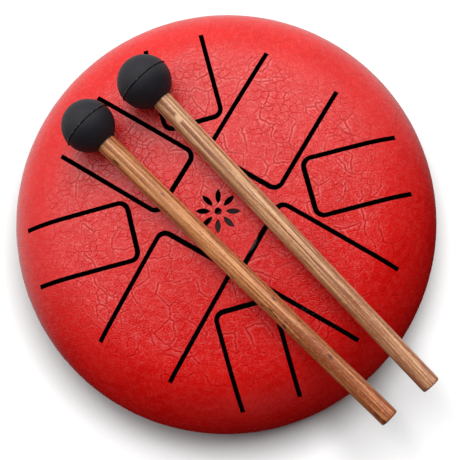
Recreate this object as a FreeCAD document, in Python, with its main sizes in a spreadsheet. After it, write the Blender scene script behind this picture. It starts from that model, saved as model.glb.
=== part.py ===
import FreeCAD, Part
import math
import os
import re

import Sketcher

# A small steel tongue drum with its two mallets laid across the top.
# Frame: millimetres, +Z up, origin on the drum's axis at the level of the surface it stands on.
# Every alias on the sheet holds an underscore, so that on_sheet() can tell it from a function.

GENERAL_SIZES = [
    # Pressed steel half shells, both from one die.
    ("drum_radius", 75.0, "outer radius at the waist"),
    ("crown_radius", 334.0, "radius of the shallow crown, outside"),
    ("shoulder_radius", 26.2, "radius of the shoulder, outside"),
    ("seam_land", 3.0, "straight band between the shoulder and the seam"),
    ("shell_thickness", 1.2, "thickness of the pressed steel"),
    ("seam_bevel", 0.6, "bevel on the outer edge for the weld"),
    ("weld_crown", 0.15, "height of the weld bead over the shell"),
    ("floor_gap", 6.0, "height of the lowest steel over the floor"),
    ("sound_hole_radius", 10.0, "radius of the hole in the bottom"),
    # Tongue slots, cut straight down.
    ("leg_slot", 1.6, "width of the two long slots of a tongue"),
    ("tip_slot", 1.8, "width of the cross slot at a tongue's free end"),
    ("slot_corner", 3.0, "corner radius along the middle of the slot"),
    # Ornament in the middle of the top: a plain flower of lens-shaped cuts.
    ("petal_count", 8, "number of petals"),
    ("petal_start", 2.6, "distance of a petal's inner point from the axis"),
    ("petal_end", 7.6, "distance of a petal's outer point from the axis"),
    ("petal_half_width", 0.95, "half of a petal's greatest width"),
    ("eye_radius", 1.2, "radius of the round hole in the middle"),
    # Rubber feet and their fasteners.
    ("foot_count", 4, "number of feet"),
    ("foot_ring_radius", 42.0, "distance of a foot from the axis"),
    ("foot_top_radius", 7.0, "foot's radius against the shell"),
    ("foot_sole_radius", 6.2, "foot's radius near the floor"),
    ("foot_length", 11.0, "length of the moulding before its sole is cut level"),
    ("foot_web", 3.5, "rubber between the washer and the shell"),
    ("recess_radius", 4.0, "radius of the recess for the screw's head"),
    ("foot_hole_radius", 1.6, "radius of the screw's hole"),
    ("washer_radius", 3.5, "washer's outer radius"),
    ("washer_thickness", 0.5, "washer's thickness"),
    ("screw_radius", 1.5, "screw's thread radius"),
    ("screw_head_radius", 2.8, "screw head's radius"),
    ("screw_head_height", 2.2, "screw head's height"),
    ("screw_length", 10.0, "screw's length under the head"),
    ("screw_tip", 0.35, "chamfer on the screw's tip"),
    ("driver_slot_length", 3.4, "length of one arm pair of the cross recess"),
    ("driver_slot_width", 0.8, "width of the cross recess"),
    ("driver_slot_depth", 1.2, "depth of the cross recess"),
    ("nut_flats", 5.5, "nut's width across flats"),
    ("nut_thickness", 2.4, "nut's thickness"),
    ("thread_clearance", 0.02, "radial clearance between screw and nut"),
    # Mallets.
    ("rest_gap", 0.3, "clearance between a resting mallet and the shell"),
    ("stick_head_radius", 3.45, "stick's radius in the rubber head"),
    ("stick_end_radius", 3.35, "stick's radius at its free end"),
    ("stick_inset", 4.5, "depth of the stick past the middle of the head"),
    ("stick_edge", 0.35, "chamfer on the stick's two ends"),
    ("head_flat_radius", 4.4, "flat around the stick on the rubber head"),
    ("flash_height", 0.25, "height of the moulding line on the head"),
    ("flash_half_width", 0.35, "half of the moulding line's width"),
    ("flash_offset", 0.45, "moulding line's distance from the head's middle, away from the stick"),
]

# Tongues: direction of the free axis in degrees, sideways shift of the axis, half of the distance
# between the long slots, distance of the cross slot from the drum's axis, distance of the root.
TONGUE_COLUMNS = ("turn", "shift", "half_width", "tip", "root")
TONGUES = [
    (15.5, -0.7, 10.1, 31.7, 64.7),
    (60.0, 0.0, 13.8, 16.0, 56.0),
    (105.5, 0.0, 10.0, 31.8, 62.5),
    (149.0, -0.9, 11.9, 17.2, 57.3),
    (194.0, -1.1, 10.1, 29.7, 66.5),
    (240.5, 0.2, 13.7, 14.8, 58.0),
    (285.5, -0.3, 10.0, 33.0, 66.9),
    (330.5, -0.6, 13.7, 16.6, 62.0),
]

# Mallets: place of the head's middle seen from above, direction of the stick in degrees,
# head's radius, distance from the head's middle to the stick's free end.
MALLET_COLUMNS = ("head_x", "head_y", "turn", "head_radius", "reach")
MALLETS = [
    (-43.6, 28.5, -44.05, 9.1, 140.0),
    (-24.6, 43.3, -46.8, 9.25, 139.2),
]

SKETCH_ORIGIN = (-1, 1)
H_AXIS = -1
V_AXIS = -2
START_POINT = 1
END_POINT = 2
CENTRE_POINT = 3
FULL_TURN = 360.0
RECESS_ARMS = 4

CROWN_CENTRE = (
    "(seam_land - sqrt((crown_radius - shoulder_radius)^2 - (drum_radius - shoulder_radius)^2))"
)
CROWN_RISE = f"({CROWN_CENTRE} + crown_radius)"

doc = FreeCAD.newDocument("tongue_drum")
sheet = doc.addObject("Spreadsheet::Sheet", "sizes")


# ---------------------------------------------------------------- sheet and formulas

def fill_sheet():
    """Write every driving size to the sheet: its value, alias and meaning."""
    rows = list(GENERAL_SIZES)
    for number, tongue in enumerate(TONGUES, 1):
        for column, value in zip(TONGUE_COLUMNS, tongue):
            rows.append((f"tongue_{number}_{column}", value, f"tongue {number}: {column}"))
    for number, mallet in enumerate(MALLETS, 1):
        for column, value in zip(MALLET_COLUMNS, mallet):
            rows.append((f"mallet_{number}_{column}", value, f"mallet {number}: {column}"))
    for line, (alias, value, meaning) in enumerate(rows, 1):
        sheet.set(f"A{line}", meaning)
        sheet.set(f"B{line}", str(value))
        sheet.setAlias(f"B{line}", alias)
    doc.recompute()


def on_sheet(formula):
    """Turn each alias of a formula into a reference to the sheet."""
    return re.sub(r"\b([a-z]+_[a-z0-9_]+)\b", r"sizes.\1", formula)


def value_of(formula):
    """Work out a formula with the sheet's present sizes."""
    return float(sheet.evalExpression(on_sheet(formula)))


def bind(thing, property_name, formula):
    """Let a property follow a formula on the sheet."""
    thing.setExpression(property_name, on_sheet(formula))


# ---------------------------------------------------------------- sketches

def new_body(label):
    """Add an empty body for one sub-part."""
    body = doc.addObject("PartDesign::Body", label)
    body.Label = label
    return body


def origin_feature(body, role):
    """Find one of a body's own planes or axes by its role."""
    for feature in body.Origin.OriginFeatures:
        if feature.Role == role:
            return feature
    raise RuntimeError(f"{body.Label} has no {role}")


def new_sketch(body, name, role):
    """Add a sketch on one of the body's own origin planes."""
    sketch = body.newObject("Sketcher::SketchObject", f"{body.Label}_{name}")
    sketch.AttachmentSupport = [(origin_feature(body, role), "")]
    sketch.MapMode = "FlatFace"
    return sketch


def corner(x, y):
    """One corner of an outline, as two formulas."""
    return {"x": x, "y": y}


def arc(x, y, turn):
    """An arc between two corners: its centre, and 1 for anticlockwise or -1 for clockwise."""
    return {"x": x, "y": y, "turn": turn}


def place_coordinate(sketch, kind, point, formula):
    """Hold one coordinate of a point at a formula, or on the axis where it is zero."""
    if formula == "0":
        axis = V_AXIS if kind == "DistanceX" else H_AXIS
        sketch.addConstraint(Sketcher.Constraint("PointOnObject", *point, axis))
        return
    value = value_of(formula)
    number = sketch.addConstraint(Sketcher.Constraint(kind, *SKETCH_ORIGIN, *point, value))
    bind(sketch, f"Constraints[{number}]", formula)


def add_edge(sketch, start, end, bend):
    """Add a line or an arc and return its geometry number with its first and last point."""
    first = FreeCAD.Vector(value_of(start["x"]), value_of(start["y"]), 0)
    last = FreeCAD.Vector(value_of(end["x"]), value_of(end["y"]), 0)
    if bend is None:
        return sketch.addGeometry(Part.LineSegment(first, last)), START_POINT, END_POINT
    centre = FreeCAD.Vector(value_of(bend["x"]), value_of(bend["y"]), 0)
    circle = Part.Circle(centre, FreeCAD.Vector(0, 0, 1), (first - centre).Length)
    angles = [math.atan2(p.y - centre.y, p.x - centre.x) for p in (first, last)]
    if bend["turn"] > 0:
        return sketch.addGeometry(Part.ArcOfCircle(circle, *angles)), START_POINT, END_POINT
    return sketch.addGeometry(Part.ArcOfCircle(circle, *reversed(angles))), END_POINT, START_POINT


def hold_centre(sketch, geometry, bend):
    """Hold an arc's centre on the coordinate that its chord leaves free."""
    edge = sketch.Geometry[geometry]
    chord = edge.EndPoint - edge.StartPoint
    if abs(chord.x) > abs(chord.y):
        place_coordinate(sketch, "DistanceY", (geometry, CENTRE_POINT), bend["y"])
    else:
        place_coordinate(sketch, "DistanceX", (geometry, CENTRE_POINT), bend["x"])


def draw_outline(sketch, items):
    """Draw a closed outline of corners, with an arc's centre between two of them where it bends."""
    corners = [n for n, item in enumerate(items) if "turn" not in item]
    edges = []
    for place, number in enumerate(corners):
        following = corners[(place + 1) % len(corners)]
        bend = items[(number + 1) % len(items)]
        bend = bend if "turn" in bend else None
        edges.append((*add_edge(sketch, items[number], items[following], bend), bend, items[number]))
    for place, (geometry, first, _, bend, start) in enumerate(edges):
        before, _, before_last, _, _ = edges[place - 1]
        join = Sketcher.Constraint("Coincident", before, before_last, geometry, first)
        sketch.addConstraint(join)
        place_coordinate(sketch, "DistanceX", (geometry, first), start["x"])
        place_coordinate(sketch, "DistanceY", (geometry, first), start["y"])
        if bend is not None:
            hold_centre(sketch, geometry, bend)


def draw_circle(sketch, radius):
    """Draw a circle about the sketch's origin."""
    circle = Part.Circle(FreeCAD.Vector(0, 0, 0), FreeCAD.Vector(0, 0, 1), value_of(radius))
    geometry = sketch.addGeometry(circle)
    sketch.addConstraint(Sketcher.Constraint("Coincident", geometry, CENTRE_POINT, *SKETCH_ORIGIN))
    number = sketch.addConstraint(Sketcher.Constraint("Radius", geometry, value_of(radius)))
    bind(sketch, f"Constraints[{number}]", radius)


# ---------------------------------------------------------------- features

def revolve(body, outline):
    """Turn an outline in the XZ plane once round the body's Z axis."""
    sketch = new_sketch(body, "profile", "XZ_Plane")
    draw_outline(sketch, outline)
    turned = body.newObject("PartDesign::Revolution", f"{body.Label}_turned")
    turned.Profile = sketch
    turned.ReferenceAxis = (sketch, ["V_Axis"])
    turned.Angle = FULL_TURN
    doc.recompute()
    return turned


def cut_up(body, sketch, name):
    """Cut a sketch upwards right through the body, and make sure that it removes metal."""
    before = body.Shape.Volume
    pocket = body.newObject("PartDesign::Pocket", f"{body.Label}_{name}")
    pocket.Profile = sketch
    pocket.Type = "ThroughAll"
    pocket.Reversed = True
    doc.recompute()
    if body.Shape.Volume >= before:
        raise RuntimeError(f"{body.Label}: {name} cuts nothing")
    return pocket


def repeat_round(body, feature, name, count):
    """Repeat a cut round the body's Z axis."""
    before = body.Shape.Volume
    pattern = body.newObject("PartDesign::PolarPattern", f"{body.Label}_{name}")
    pattern.Originals = [feature]
    pattern.Axis = (origin_feature(body, "Z_Axis"), [""])
    pattern.Angle = FULL_TURN
    bind(pattern, "Occurrences", count)
    body.Tip = pattern
    doc.recompute()
    if body.Shape.Volume >= before:
        raise RuntimeError(f"{body.Label}: {name} repeats nothing")
    return pattern


# ---------------------------------------------------------------- drum

def half_shell(label):
    """Press one half: crown, shoulder and land, with the seam at the body's own level zero."""
    inner = "(drum_radius - shell_thickness)"
    touch = "((drum_radius - shoulder_radius) / (crown_radius - shoulder_radius))"
    crown_foot = f"({CROWN_CENTRE} + {{0}} * sqrt(1 - {touch}^2))"
    shoulder_centre = ("drum_radius - shoulder_radius", "seam_land")
    inner_crown = "(crown_radius - shell_thickness)"
    body = new_body(label)
    revolve(body, [
        corner("0", CROWN_RISE),
        arc("0", CROWN_CENTRE, -1),
        corner(f"crown_radius * {touch}", crown_foot.format("crown_radius")),
        arc(*shoulder_centre, -1),
        corner("drum_radius", "seam_land"),
        corner("drum_radius", "seam_bevel"),
        corner("drum_radius - seam_bevel", "0"),
        corner(inner, "0"),
        corner(inner, "seam_land"),
        arc(*shoulder_centre, 1),
        corner(f"{inner_crown} * {touch}", crown_foot.format(inner_crown)),
        arc("0", CROWN_CENTRE, 1),
        corner("0", f"{CROWN_RISE} - shell_thickness"),
    ])
    return body


def tongue_outline(tongue):
    """The U-shaped slot round one tongue, with the tongue's axis along X."""
    side = f"{tongue}_half_width"
    leg = "leg_slot / 2"
    tip_out = f"{tongue}_tip - tip_slot / 2"
    tip_in = f"{tongue}_tip + tip_slot / 2"
    wide = "(slot_corner + leg_slot / 2)"
    narrow = "(slot_corner - leg_slot / 2)"
    root = f"{tongue}_root"
    return [
        corner(root, f"{side} + {leg}"),
        corner(f"{tip_out} + {wide}", f"{side} + {leg}"),
        arc(f"{tip_out} + {wide}", f"{side} + {leg} - {wide}", 1),
        corner(tip_out, f"{side} + {leg} - {wide}"),
        corner(tip_out, f"-({side} + {leg} - {wide})"),
        arc(f"{tip_out} + {wide}", f"-({side} + {leg} - {wide})", 1),
        corner(f"{tip_out} + {wide}", f"-({side} + {leg})"),
        corner(root, f"-({side} + {leg})"),
        corner(root, f"-({side} - {leg})"),
        corner(f"{tip_in} + {narrow}", f"-({side} - {leg})"),
        arc(f"{tip_in} + {narrow}", f"-({side} - {leg} - {narrow})", -1),
        corner(tip_in, f"-({side} - {leg} - {narrow})"),
        corner(tip_in, f"{side} - {leg} - {narrow}"),
        arc(f"{tip_in} + {narrow}", f"{side} - {leg} - {narrow}", -1),
        corner(f"{tip_in} + {narrow}", f"{side} - {leg}"),
        corner(root, f"{side} - {leg}"),
    ]


def cut_tongue(body, number):
    """Free one tongue on three sides, turned and shifted to its place round the drum."""
    tongue = f"tongue_{number}"
    sketch = new_sketch(body, f"{tongue}_slot", "XY_Plane")
    draw_outline(sketch, tongue_outline(tongue))
    bind(sketch, "AttachmentOffset.Rotation.Angle", f"{tongue}_turn")
    bind(sketch, "AttachmentOffset.Base.x", f"-{tongue}_shift * sin({tongue}_turn)")
    bind(sketch, "AttachmentOffset.Base.y", f"{tongue}_shift * cos({tongue}_turn)")
    cut_up(body, sketch, f"{tongue}_cut")


def cut_ornament(body):
    """Cut a flower of lens-shaped petals round a small round eye."""
    middle = "((petal_start + petal_end) / 2)"
    half_length = "((petal_end - petal_start) / 2)"
    offset = f"(({half_length}^2 - petal_half_width^2) / (2 * petal_half_width))"
    petal = new_sketch(body, "petal", "XY_Plane")
    draw_outline(petal, [
        corner("petal_start", "0"),
        arc(middle, offset, 1),
        corner("petal_end", "0"),
        arc(middle, f"-{offset}", 1),
    ])
    repeat_round(body, cut_up(body, petal, "petal_cut"), "petals", "petal_count")
    eye = new_sketch(body, "eye", "XY_Plane")
    draw_circle(eye, "eye_radius")
    cut_up(body, eye, "eye_cut")


def top_shell():
    """Upper half with the eight tongues and the ornament."""
    body = half_shell("top_shell")
    for number in range(1, len(TONGUES) + 1):
        cut_tongue(body, number)
    cut_ornament(body)
    bind(body, "Placement.Base.z", f"floor_gap + {CROWN_RISE}")
    return body


def bottom_shell():
    """Lower half, the same pressing upside down, with the sound hole and the feet's screw holes."""
    body = half_shell("bottom_shell")
    hole = new_sketch(body, "sound_hole", "XY_Plane")
    draw_circle(hole, "sound_hole_radius")
    cut_up(body, hole, "sound_hole_cut")
    screw_hole = new_sketch(body, "screw_hole", "XY_Plane")
    draw_circle(screw_hole, "foot_hole_radius")
    first = FreeCAD.Rotation(FreeCAD.Vector(0, 0, 1), -foot_turn(1))
    lean = FreeCAD.Rotation(FreeCAD.Vector(0, 1, 0), foot_tilt())
    centre = FreeCAD.Vector(0, 0, value_of(CROWN_CENTRE))
    screw_hole.AttachmentOffset = FreeCAD.Placement(centre, first * lean)
    repeat_round(body, cut_up(body, screw_hole, "screw_hole_cut"), "screw_holes", "foot_count")
    turned_over = FreeCAD.Rotation(FreeCAD.Vector(1, 0, 0), 180)
    height = value_of(f"floor_gap + {CROWN_RISE}")
    body.Placement = FreeCAD.Placement(FreeCAD.Vector(0, 0, height), turned_over)
    return body


def seam_weld():
    """Bead that fills the groove between the two bevelled edges and stands slightly proud."""
    body = new_body("seam_weld")
    proud = "(drum_radius + weld_crown)"
    revolve(body, [
        corner("drum_radius - seam_bevel", "0"),
        corner("drum_radius", "-seam_bevel"),
        corner(proud, "-seam_bevel / 2"),
        corner(proud, "seam_bevel / 2"),
        corner("drum_radius", "seam_bevel"),
    ])
    bind(body, "Placement.Base.z", f"floor_gap + {CROWN_RISE}")
    return body


# ---------------------------------------------------------------- feet

def foot_turn(number):
    """Direction of a foot round the drum, in degrees."""
    step = FULL_TURN / value_of("foot_count")
    return step * (number - 0.5)


def foot_tilt():
    """Slope of the shell under a foot, in degrees."""
    return math.degrees(math.asin(value_of("foot_ring_radius / crown_radius")))


def foot_placement(number):
    """Frame of a foot: on the shell's outside, Z along the screw into the drum, X outwards."""
    round_axis = FreeCAD.Rotation(FreeCAD.Vector(0, 0, 1), foot_turn(number))
    lean = FreeCAD.Rotation(FreeCAD.Vector(0, 1, 0), -foot_tilt())
    turn = round_axis * lean
    crown_centre = FreeCAD.Vector(0, 0, value_of("floor_gap + crown_radius"))
    base = crown_centre - turn.multVec(FreeCAD.Vector(0, 0, value_of("crown_radius")))
    return FreeCAD.Placement(base, turn)


def foot(number):
    """Tapered rubber foot with a recess for the screw and a sole cut level with the floor."""
    body = new_body(f"foot_{number}")
    revolve(body, [
        corner("foot_hole_radius", "foot_hole_radius^2 / (2 * crown_radius)"),
        corner("foot_top_radius", "foot_top_radius^2 / (2 * crown_radius)"),
        corner("foot_sole_radius", "-foot_length"),
        corner("recess_radius", "-foot_length"),
        corner("recess_radius", "-foot_web"),
        corner("foot_hole_radius", "-foot_web"),
    ])
    lean = "asin(foot_ring_radius / crown_radius)"
    slope = f"tan({lean})"
    drop = f"((floor_gap + crown_radius) / cos({lean}) - crown_radius)"
    reach = "foot_top_radius"
    sole = new_sketch(body, "sole", "XZ_Plane")
    draw_outline(sole, [
        corner(f"-{reach}", f"-({drop} - {reach} * {slope})"),
        corner(f"-{reach}", "-2 * foot_length"),
        corner(reach, "-2 * foot_length"),
        corner(reach, f"-({drop} + {reach} * {slope})"),
    ])
    before = body.Shape.Volume
    pocket = body.newObject("PartDesign::Pocket", f"{body.Label}_level_sole")
    pocket.Profile = sole
    pocket.Type = "ThroughAll"
    pocket.SideType = "Symmetric"
    doc.recompute()
    if body.Shape.Volume >= before:
        raise RuntimeError(f"{body.Label}: the sole is not cut")
    body.Placement = foot_placement(number)
    return body


def foot_washer(number):
    """Plain washer between the rubber and the screw's head."""
    body = new_body(f"foot_washer_{number}")
    revolve(body, [
        corner("foot_hole_radius", "-foot_web"),
        corner("washer_radius", "-foot_web"),
        corner("washer_radius", "-foot_web - washer_thickness"),
        corner("foot_hole_radius", "-foot_web - washer_thickness"),
    ])
    body.Placement = foot_placement(number)
    return body


def foot_screw(number):
    """Pan-head screw with a cross recess, put in from below."""
    body = new_body(f"foot_screw_{number}")
    under_head = "(-foot_web - washer_thickness)"
    head_edge = "screw_head_height / 4"
    revolve(body, [
        corner("0", f"{under_head} + screw_length"),
        corner("screw_radius - screw_tip", f"{under_head} + screw_length"),
        corner("screw_radius", f"{under_head} + screw_length - screw_tip"),
        corner("screw_radius", under_head),
        corner("screw_head_radius", under_head),
        corner("screw_head_radius", f"{under_head} - screw_head_height + {head_edge}"),
        corner(f"screw_head_radius - {head_edge}", f"{under_head} - screw_head_height"),
        corner("0", f"{under_head} - screw_head_height"),
    ])
    recess = new_sketch(body, "recess", "XY_Plane")
    half_long = "driver_slot_length / 2"
    half_wide = "driver_slot_width / 2"
    draw_outline(recess, [
        corner(half_long, half_wide),
        corner(f"-{half_long}", half_wide),
        corner(f"-{half_long}", f"-{half_wide}"),
        corner(half_long, f"-{half_wide}"),
    ])
    bind(recess, "AttachmentOffset.Base.z", f"{under_head} - screw_head_height")
    before = body.Shape.Volume
    arm = body.newObject("PartDesign::Pocket", f"{body.Label}_recess_arm")
    arm.Profile = recess
    arm.Reversed = True
    bind(arm, "Length", "driver_slot_depth")
    doc.recompute()
    if body.Shape.Volume >= before:
        raise RuntimeError(f"{body.Label}: the recess is not cut")
    cross = body.newObject("PartDesign::PolarPattern", f"{body.Label}_recess")
    cross.Originals = [arm]
    cross.Axis = (origin_feature(body, "Z_Axis"), [""])
    cross.Angle = FULL_TURN
    cross.Occurrences = RECESS_ARMS
    body.Tip = cross
    body.Placement = foot_placement(number)
    return body


def foot_nut(number):
    """Hexagon nut inside the drum, seated on the steel."""
    body = new_body(f"foot_nut_{number}")
    across_corners = "(nut_flats / sqrt(3))"
    seat = f"(shell_thickness + {across_corners}^2 / (2 * (crown_radius - shell_thickness)))"
    outline = new_sketch(body, "hexagon", "XY_Plane")
    corners = [
        ("{0}", "0"), ("{0} / 2", "{1} / 2"), ("-{0} / 2", "{1} / 2"),
        ("-{0}", "0"), ("-{0} / 2", "-{1} / 2"), ("{0} / 2", "-{1} / 2"),
    ]
    draw_outline(outline, [
        corner(x.format(across_corners), y.format(across_corners, "nut_flats")) for x, y in corners
    ])
    draw_circle(outline, "screw_radius + thread_clearance")
    bind(outline, "AttachmentOffset.Base.z", seat)
    pad = body.newObject("PartDesign::Pad", f"{body.Label}_pad")
    pad.Profile = outline
    bind(pad, "Length", "nut_thickness")
    body.Placement = foot_placement(number)
    return body


# ---------------------------------------------------------------- mallets

def mallet_placement(number):
    """Frame of a mallet at rest: origin in the head's middle, Z along the stick.

    The head rests on the crown on one side and the stick on the other, both with rest_gap to spare,
    so the stick's line is tangent to a sphere about the crown's centre.
    """
    name = f"mallet_{number}"
    turn = math.radians(value_of(f"{name}_turn"))
    head = FreeCAD.Vector(value_of(f"{name}_head_x"), value_of(f"{name}_head_y"), 0)
    crown_centre = value_of(f"floor_gap + {CROWN_RISE} + {CROWN_CENTRE}")
    head_distance = value_of(f"crown_radius + {name}_head_radius + rest_gap")
    stick_distance = value_of("crown_radius + stick_head_radius + rest_gap")
    rise = math.sqrt(head_distance ** 2 - head.Length ** 2)
    along = FreeCAD.Vector(math.cos(turn), math.sin(turn), 0)
    behind = -head.dot(along)
    reach = math.sqrt(head_distance ** 2 - stick_distance ** 2)
    fall = math.asin(reach / math.hypot(behind, rise)) - math.atan2(behind, rise)
    direction = along * math.cos(fall) - FreeCAD.Vector(0, 0, math.sin(fall))
    head.z = crown_centre + rise
    return FreeCAD.Placement(head, FreeCAD.Rotation(FreeCAD.Vector(0, 0, 1), direction))


def mallet_stick(number):
    """Wooden stick: straight where it sits in the head, then a slight taper to the free end."""
    name = f"mallet_{number}"
    body = new_body(f"{name}_stick")
    revolve(body, [
        corner("0", "-stick_inset"),
        corner("stick_head_radius - stick_edge", "-stick_inset"),
        corner("stick_head_radius", "-stick_inset + stick_edge"),
        corner("stick_head_radius", f"{name}_head_radius"),
        corner("stick_end_radius", f"{name}_reach - stick_edge"),
        corner("stick_end_radius - stick_edge", f"{name}_reach"),
        corner("0", f"{name}_reach"),
    ])
    body.Placement = mallet_placement(number)
    return body


def mallet_head(number):
    """Rubber ball with a moulding line, a small flat round the stick and a blind hole for it."""
    name = f"mallet_{number}"
    ball = f"{name}_head_radius"
    body = new_body(f"{name}_head")
    flat_height = f"sqrt({ball}^2 - head_flat_radius^2)"
    upper = "(flash_offset - flash_half_width)"
    lower = "(flash_offset + flash_half_width)"
    revolve(body, [
        corner("0", f"-{ball}"),
        arc("0", "0", 1),
        corner(f"sqrt({ball}^2 - {lower}^2)", f"-{lower}"),
        corner(f"sqrt({ball}^2 - flash_offset^2) + flash_height", "-flash_offset"),
        corner(f"sqrt({ball}^2 - {upper}^2)", f"-{upper}"),
        arc("0", "0", 1),
        corner("head_flat_radius", flat_height),
        corner("stick_head_radius", flat_height),
        corner("stick_head_radius", "-stick_inset + stick_edge"),
        corner("stick_head_radius - stick_edge", "-stick_inset"),
        corner("0", "-stick_inset"),
    ])
    body.Placement = mallet_placement(number)
    return body


# ---------------------------------------------------------------- assembly and output

def build_parts():
    """Make every sub-part of the drum and of the two mallets."""
    parts = [top_shell(), bottom_shell(), seam_weld()]
    for number in range(1, int(value_of("foot_count")) + 1):
        for make in (foot, foot_washer, foot_screw, foot_nut):
            parts.append(make(number))
    for number in range(1, len(MALLETS) + 1):
        parts.append(mallet_stick(number))
        parts.append(mallet_head(number))
    return parts


def check(parts):
    """Stop if any object failed to recompute or any sub-part is not one valid solid."""
    doc.recompute()
    for thing in doc.Objects:
        if {"Invalid", "Error"} & set(thing.State):
            raise RuntimeError(f"{thing.Label} failed: {thing.State}")
    for part in parts:
        if part.Shape.isNull() or not part.Shape.isValid() or len(part.Shape.Solids) != 1:
            raise RuntimeError(f"{part.Label} is not one valid solid")


def write(parts):
    """Write each sub-part to its own STEP file and print its volume and height."""
    os.makedirs("parts", exist_ok=True)
    for part in parts:
        part.Shape.exportStep(f"parts/{part.Label}.step")
        box = part.Shape.BoundBox
        print(f"{part.Label:16s} {part.Shape.Volume:10.1f} mm3  z {box.ZMin:7.2f} to {box.ZMax:7.2f}")


fill_sheet()
all_parts = build_parts()
check(all_parts)
write(all_parts)
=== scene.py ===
import math
import random

import bmesh
import bpy
from mathutils import Matrix, Vector, kdtree, noise
from mathutils.geometry import delaunay_2d_cdt


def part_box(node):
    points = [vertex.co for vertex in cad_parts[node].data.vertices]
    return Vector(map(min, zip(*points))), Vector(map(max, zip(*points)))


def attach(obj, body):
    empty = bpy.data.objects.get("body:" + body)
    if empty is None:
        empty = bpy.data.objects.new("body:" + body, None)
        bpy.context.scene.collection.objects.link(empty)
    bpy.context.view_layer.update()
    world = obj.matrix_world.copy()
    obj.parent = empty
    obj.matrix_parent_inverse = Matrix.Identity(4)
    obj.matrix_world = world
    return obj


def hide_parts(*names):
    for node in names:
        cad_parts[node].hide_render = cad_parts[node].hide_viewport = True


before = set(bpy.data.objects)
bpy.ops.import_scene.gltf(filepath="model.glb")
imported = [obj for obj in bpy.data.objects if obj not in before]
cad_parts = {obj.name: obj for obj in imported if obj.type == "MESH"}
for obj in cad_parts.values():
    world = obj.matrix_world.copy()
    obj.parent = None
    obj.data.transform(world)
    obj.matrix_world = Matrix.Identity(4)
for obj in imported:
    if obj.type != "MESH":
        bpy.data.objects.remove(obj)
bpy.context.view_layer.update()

# A red crackle-enamelled steel tongue drum with two rubber-headed mallets across it.
# Lengths are metres; the frame is the CAD frame, with +Z up and the drum's axis at the origin.

MM = 0.001
UP = Vector((0, 0, 1))

# Without a seed, noise_vector() takes its offsets from the clock and the cracks bend differently each run.
WANDER_SEED = 1794911228
noise.seed_set(WANDER_SEED)


def box_of(node):
    """Lowest and highest corner of a CAD node at rest, as vectors."""
    low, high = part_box(node)
    return Vector(low), Vector(high)


# ------------------------------------------------------------------ the drum's sizes, from the frame

SHELL_LOW, SHELL_HIGH = box_of("top_shell")
DRUM_RADIUS = (SHELL_HIGH.x - SHELL_LOW.x) / 2
SEAM_HEIGHT = SHELL_LOW.z
CROWN_RISE = SHELL_HIGH.z - SHELL_LOW.z
CROWN_RADIUS = 334.0 * MM
SHOULDER_RADIUS = 26.2 * MM
SEAM_LAND = 3.0 * MM
SHELL_THICKNESS = 1.2 * MM
SEAM_BEVEL = 0.6 * MM

CROWN_CENTRE = CROWN_RISE - CROWN_RADIUS
SHOULDER_AXIS = DRUM_RADIUS - SHOULDER_RADIUS
CROWN_ANGLE = math.asin(SHOULDER_AXIS / (CROWN_RADIUS - SHOULDER_RADIUS))


class Meridian:
    """The shell's profile at one depth under the outer face, measured along its own surface."""

    def __init__(self, depth=0.0):
        self.crown = CROWN_RADIUS - depth
        self.shoulder = SHOULDER_RADIUS - depth
        self.crown_end = self.crown * CROWN_ANGLE
        self.shoulder_end = self.crown_end + self.shoulder * (math.pi / 2 - CROWN_ANGLE)
        self.end = self.shoulder_end + SEAM_LAND - (SEAM_BEVEL if depth == 0 else 0)

    def at(self, along):
        """Radius, height over the seam and the outward normal's two parts, along from the apex."""
        if along < self.crown_end:
            angle = along / self.crown
            centre = (0.0, CROWN_CENTRE)
            size = self.crown
        elif along < self.shoulder_end:
            angle = CROWN_ANGLE + (along - self.crown_end) / self.shoulder
            centre = (SHOULDER_AXIS, SEAM_LAND)
            size = self.shoulder
        else:
            height = SEAM_LAND - (along - self.shoulder_end)
            return SHOULDER_AXIS + self.shoulder, height, 1.0, 0.0
        side, rise = math.sin(angle), math.cos(angle)
        return centre[0] + size * side, centre[1] + size * rise, side, rise

    def along_at(self, radius):
        """Distance along the profile from the apex to a radius inside the shoulder's end."""
        if radius < self.crown * math.sin(CROWN_ANGLE):
            return self.crown * math.asin(radius / self.crown)
        angle = math.asin(min(1.0, (radius - SHOULDER_AXIS) / self.shoulder))
        return self.crown_end + self.shoulder * (angle - CROWN_ANGLE)

    def unroll(self, point):
        """Flatten a plan point so that its distance from the axis is the distance along the steel."""
        radius = point.length
        if radius < 1e-9:
            return point.copy()
        return point * (self.along_at(radius) / radius)

    def place(self, flat, sink=0.0):
        """Put a flattened point back on the shell, sunk below the face by a small amount."""
        along = flat.length
        radius, height, side, rise = self.at(along)
        if along < 1e-9:
            return Vector((0, 0, height - sink))
        way = flat / along
        out = radius - sink * side
        return Vector((way.x * out, way.y * out, height - sink * rise))


OUTER = Meridian()
INNER = Meridian(SHELL_THICKNESS)


# ------------------------------------------------------------------ camera, lights and floor
# Directions in degrees: azimuth anticlockwise from +X, elevation over the table.

CAMERA_DISTANCE = 0.5
CAMERA_TILT = 7.94
CAMERA_AZIMUTH = -57.8
CAMERA_ROLL = 0.28
CAMERA_TARGET = (1.61 * MM, -2.49 * MM)
CAMERA_SENSOR = 36.0
CAMERA_LENS = 108.83

KEY_AZIMUTH = 114.0
FLOOR_HALF = 3.0
SHADED_RADIUS = 28 * MM
SHADED_HEIGHT = 0.05 * MM


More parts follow.
